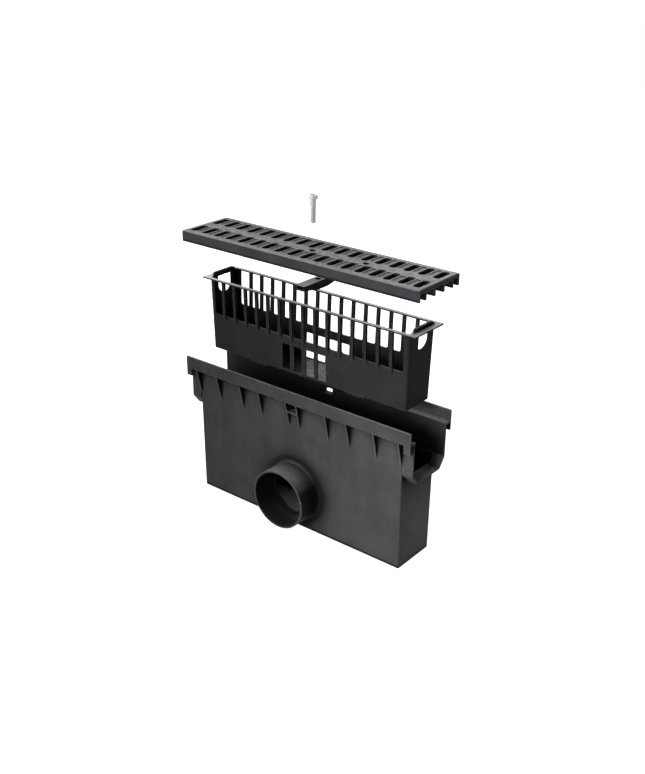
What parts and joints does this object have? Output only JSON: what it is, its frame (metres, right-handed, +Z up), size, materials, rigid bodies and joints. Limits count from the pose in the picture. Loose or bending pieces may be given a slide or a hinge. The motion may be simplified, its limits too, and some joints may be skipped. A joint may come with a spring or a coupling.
{
  "type": "channel drain sump unit",
  "caption": "Channel drain sump with U-shaped channel collars and a side outlet spigot, its silt basket, locking crossbar, slotted grate and bolt lifted off in line above it.",
  "frame": {"origin": "centre of the sump's flat underside", "axes": "+X along the channel run, +Y away from the outlet spigot, +Z up through the sump, basket, crossbar, grate and bolt"},
  "size_m": [0.5, 0.1545, 0.6009],
  "materials": {
    "sump_plastic": "matt charcoal moulding with a faint satin sheen",
    "basket_plastic": "matt near-black moulding",
    "grate_plastic": "matt dark grey moulding",
    "crossbar_plastic": "matt near-black moulding",
    "zinc_steel": "bright zinc plate",
    "stainless_steel": "clean stainless steel"
  },
  "bodies": {
    "root": {"sump_body": "sump_plastic", "slotted_grate": "grate_plastic", "locking_crossbar": "crossbar_plastic", "captive_nut": "zinc_steel", "grate_bolt": "stainless_steel", "silt_basket": "basket_plastic"}
  },
  "joints": []
}
